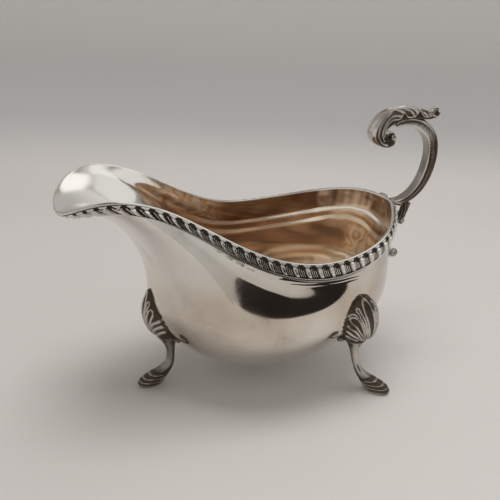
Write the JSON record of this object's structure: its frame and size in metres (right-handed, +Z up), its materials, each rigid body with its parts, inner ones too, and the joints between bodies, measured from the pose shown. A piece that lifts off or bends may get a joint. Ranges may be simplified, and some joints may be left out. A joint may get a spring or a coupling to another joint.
{
  "type": "sauce boat",
  "caption": "Footed silver sauce boat: raised oval bowl with a wide pouring lip, gadroon border, flying leaf-capped scroll handle and shell-headed legs on hoof feet.",
  "frame": {"origin": "middle of the overall length, on the mirror plane, at the level of the soles", "axes": "+X from the pouring lip to the handle, +Y to the left side, +Z up; the boat is symmetric about the XZ plane"},
  "size_m": [0.1785, 0.0918, 0.1224],
  "materials": {
    "polished_silver": "soft hand-polished silver, faint scratches, warm tarnish inside the bowl",
    "border_silver": "bright lobes with dark oxide in the recesses",
    "cast_silver": "cast silver, bright ridges, dark oxide in the recesses"
  },
  "bodies": {
    "root": {"body_bowl": "polished_silver", "rim_border_left": "border_silver", "rim_border_right": "border_silver", "handle_scroll": "cast_silver", "handle_leaf_cap": "cast_silver", "handle_strut_leaf": "cast_silver", "handle_joint_scroll_left": "cast_silver", "handle_joint_scroll_right": "cast_silver", "handle_lower_scroll_left": "cast_silver", "handle_lower_scroll_right": "cast_silver", "leg_front": "cast_silver", "leg_rear_left": "cast_silver", "leg_rear_right": "cast_silver", "leg_scroll_front_a": "cast_silver", "leg_scroll_front_b": "cast_silver", "leg_scroll_rear_left_a": "cast_silver", "leg_scroll_rear_left_b": "cast_silver", "leg_scroll_rear_right_a": "cast_silver", "leg_scroll_rear_right_b": "cast_silver"}
  },
  "joints": []
}
